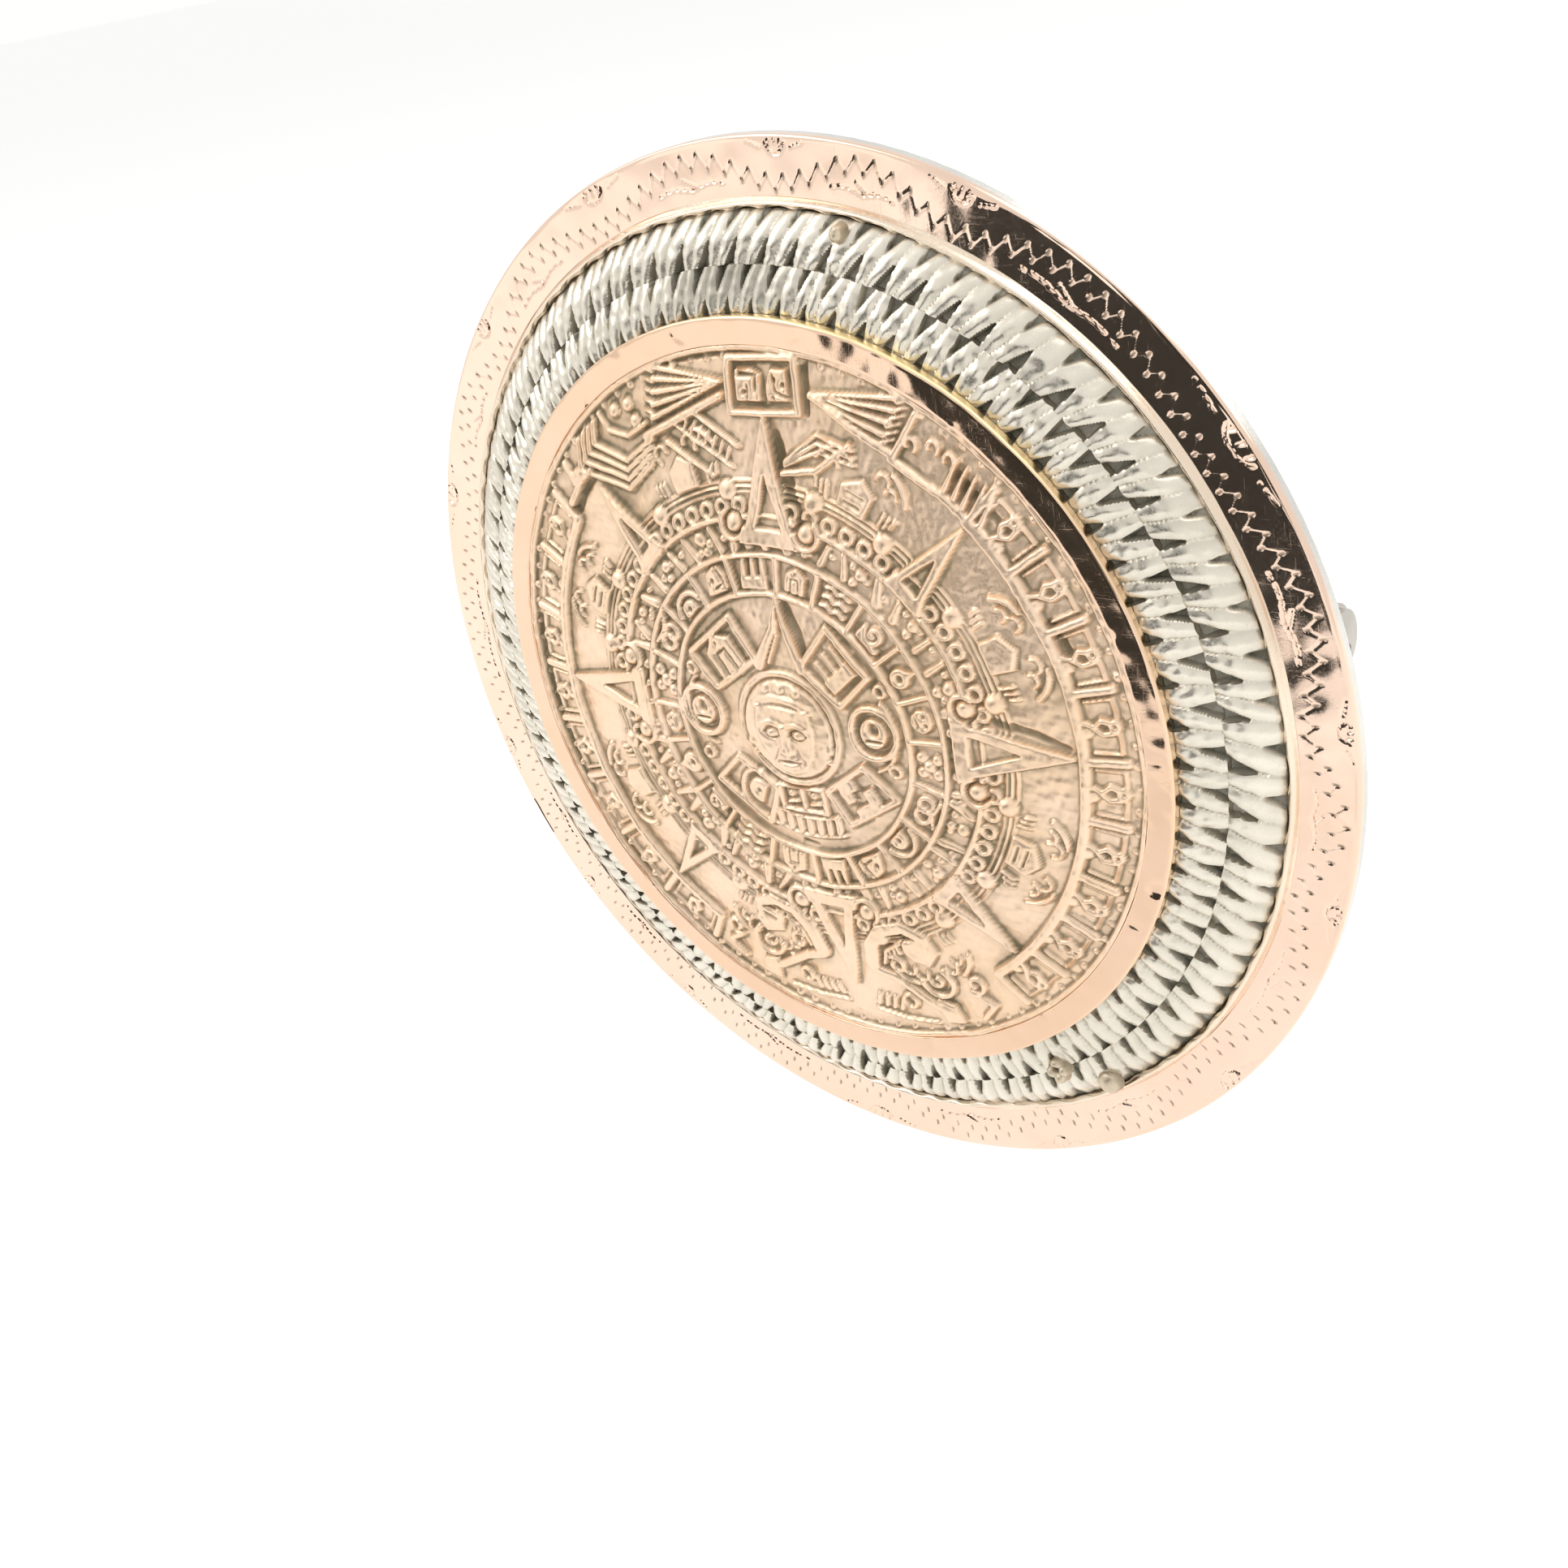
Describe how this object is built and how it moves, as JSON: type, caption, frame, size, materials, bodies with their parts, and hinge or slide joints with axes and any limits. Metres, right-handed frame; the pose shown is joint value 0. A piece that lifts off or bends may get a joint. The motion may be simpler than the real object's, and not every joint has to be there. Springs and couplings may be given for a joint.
{
  "type": "brooch",
  "caption": "Round layered brooch: domed relief disc in a raised rim, woven wire band, engraved flange, and on the back a hinged pin closing into a roller catch.",
  "frame": {"origin": "on the disc's axis, halfway between the foremost point of the face and the rearmost point of the catch", "axes": "-Y out of the face towards the viewer, +Z to the top of the calendar, +X to the right seen from the front, along the pin from hinge to point"},
  "size_m": [0.05, 0.0088, 0.05],
  "materials": {
    "rose_gold": "polished, engraved on the flange",
    "relief_gold": "stamped relief, satin in the hollows",
    "yellow_gold": "polished",
    "lip_metal": "smooth, solder-flooded",
    "solder": "dull, tarnished",
    "silver_sheet": "satin, fine scratches",
    "silver_braid": "woven flat wire, darkened in the gaps",
    "silver_fittings": "polished, lightly tarnished",
    "pin_steel": "drawn wire, bright"
  },
  "bodies": {
    "brooch": {"back_plate": "silver_sheet", "flange_overlay": "rose_gold", "lip_ring": "lip_metal", "braid_seat": "silver_sheet", "braid_outer_row": "silver_braid", "braid_inner_row": "silver_braid", "braid_studs": "solder", "riser_wall": "yellow_gold", "rim_ring": "rose_gold", "bearer_ring": "silver_sheet", "calendar_disc": "relief_gold", "hinge_base": "silver_fittings", "hinge_ears": "silver_fittings", "hinge_rivet": "pin_steel", "catch_base": "silver_fittings", "catch_housing": "silver_fittings"},
    "pin": {"pin_knuckle": "silver_fittings", "pin_stem": "pin_steel"},
    "catch_roller": {"roller_sleeve": "silver_fittings", "roller_cap": "silver_fittings"}
  },
  "joints": [
    {"name": "pin_hinge", "type": "hinge", "parent": "brooch", "child": "pin", "pos_m": [-0.0216, 0.00313, 0.00385], "axis": [0, 0, 1], "range_deg": [0, 100]},
    {"name": "catch_turn", "type": "hinge", "parent": "brooch", "child": "catch_roller", "pos_m": [0.0213, 0.00313, 0.00385], "axis": [1, 0, 0], "range_deg": [0, 110]}
  ]
}
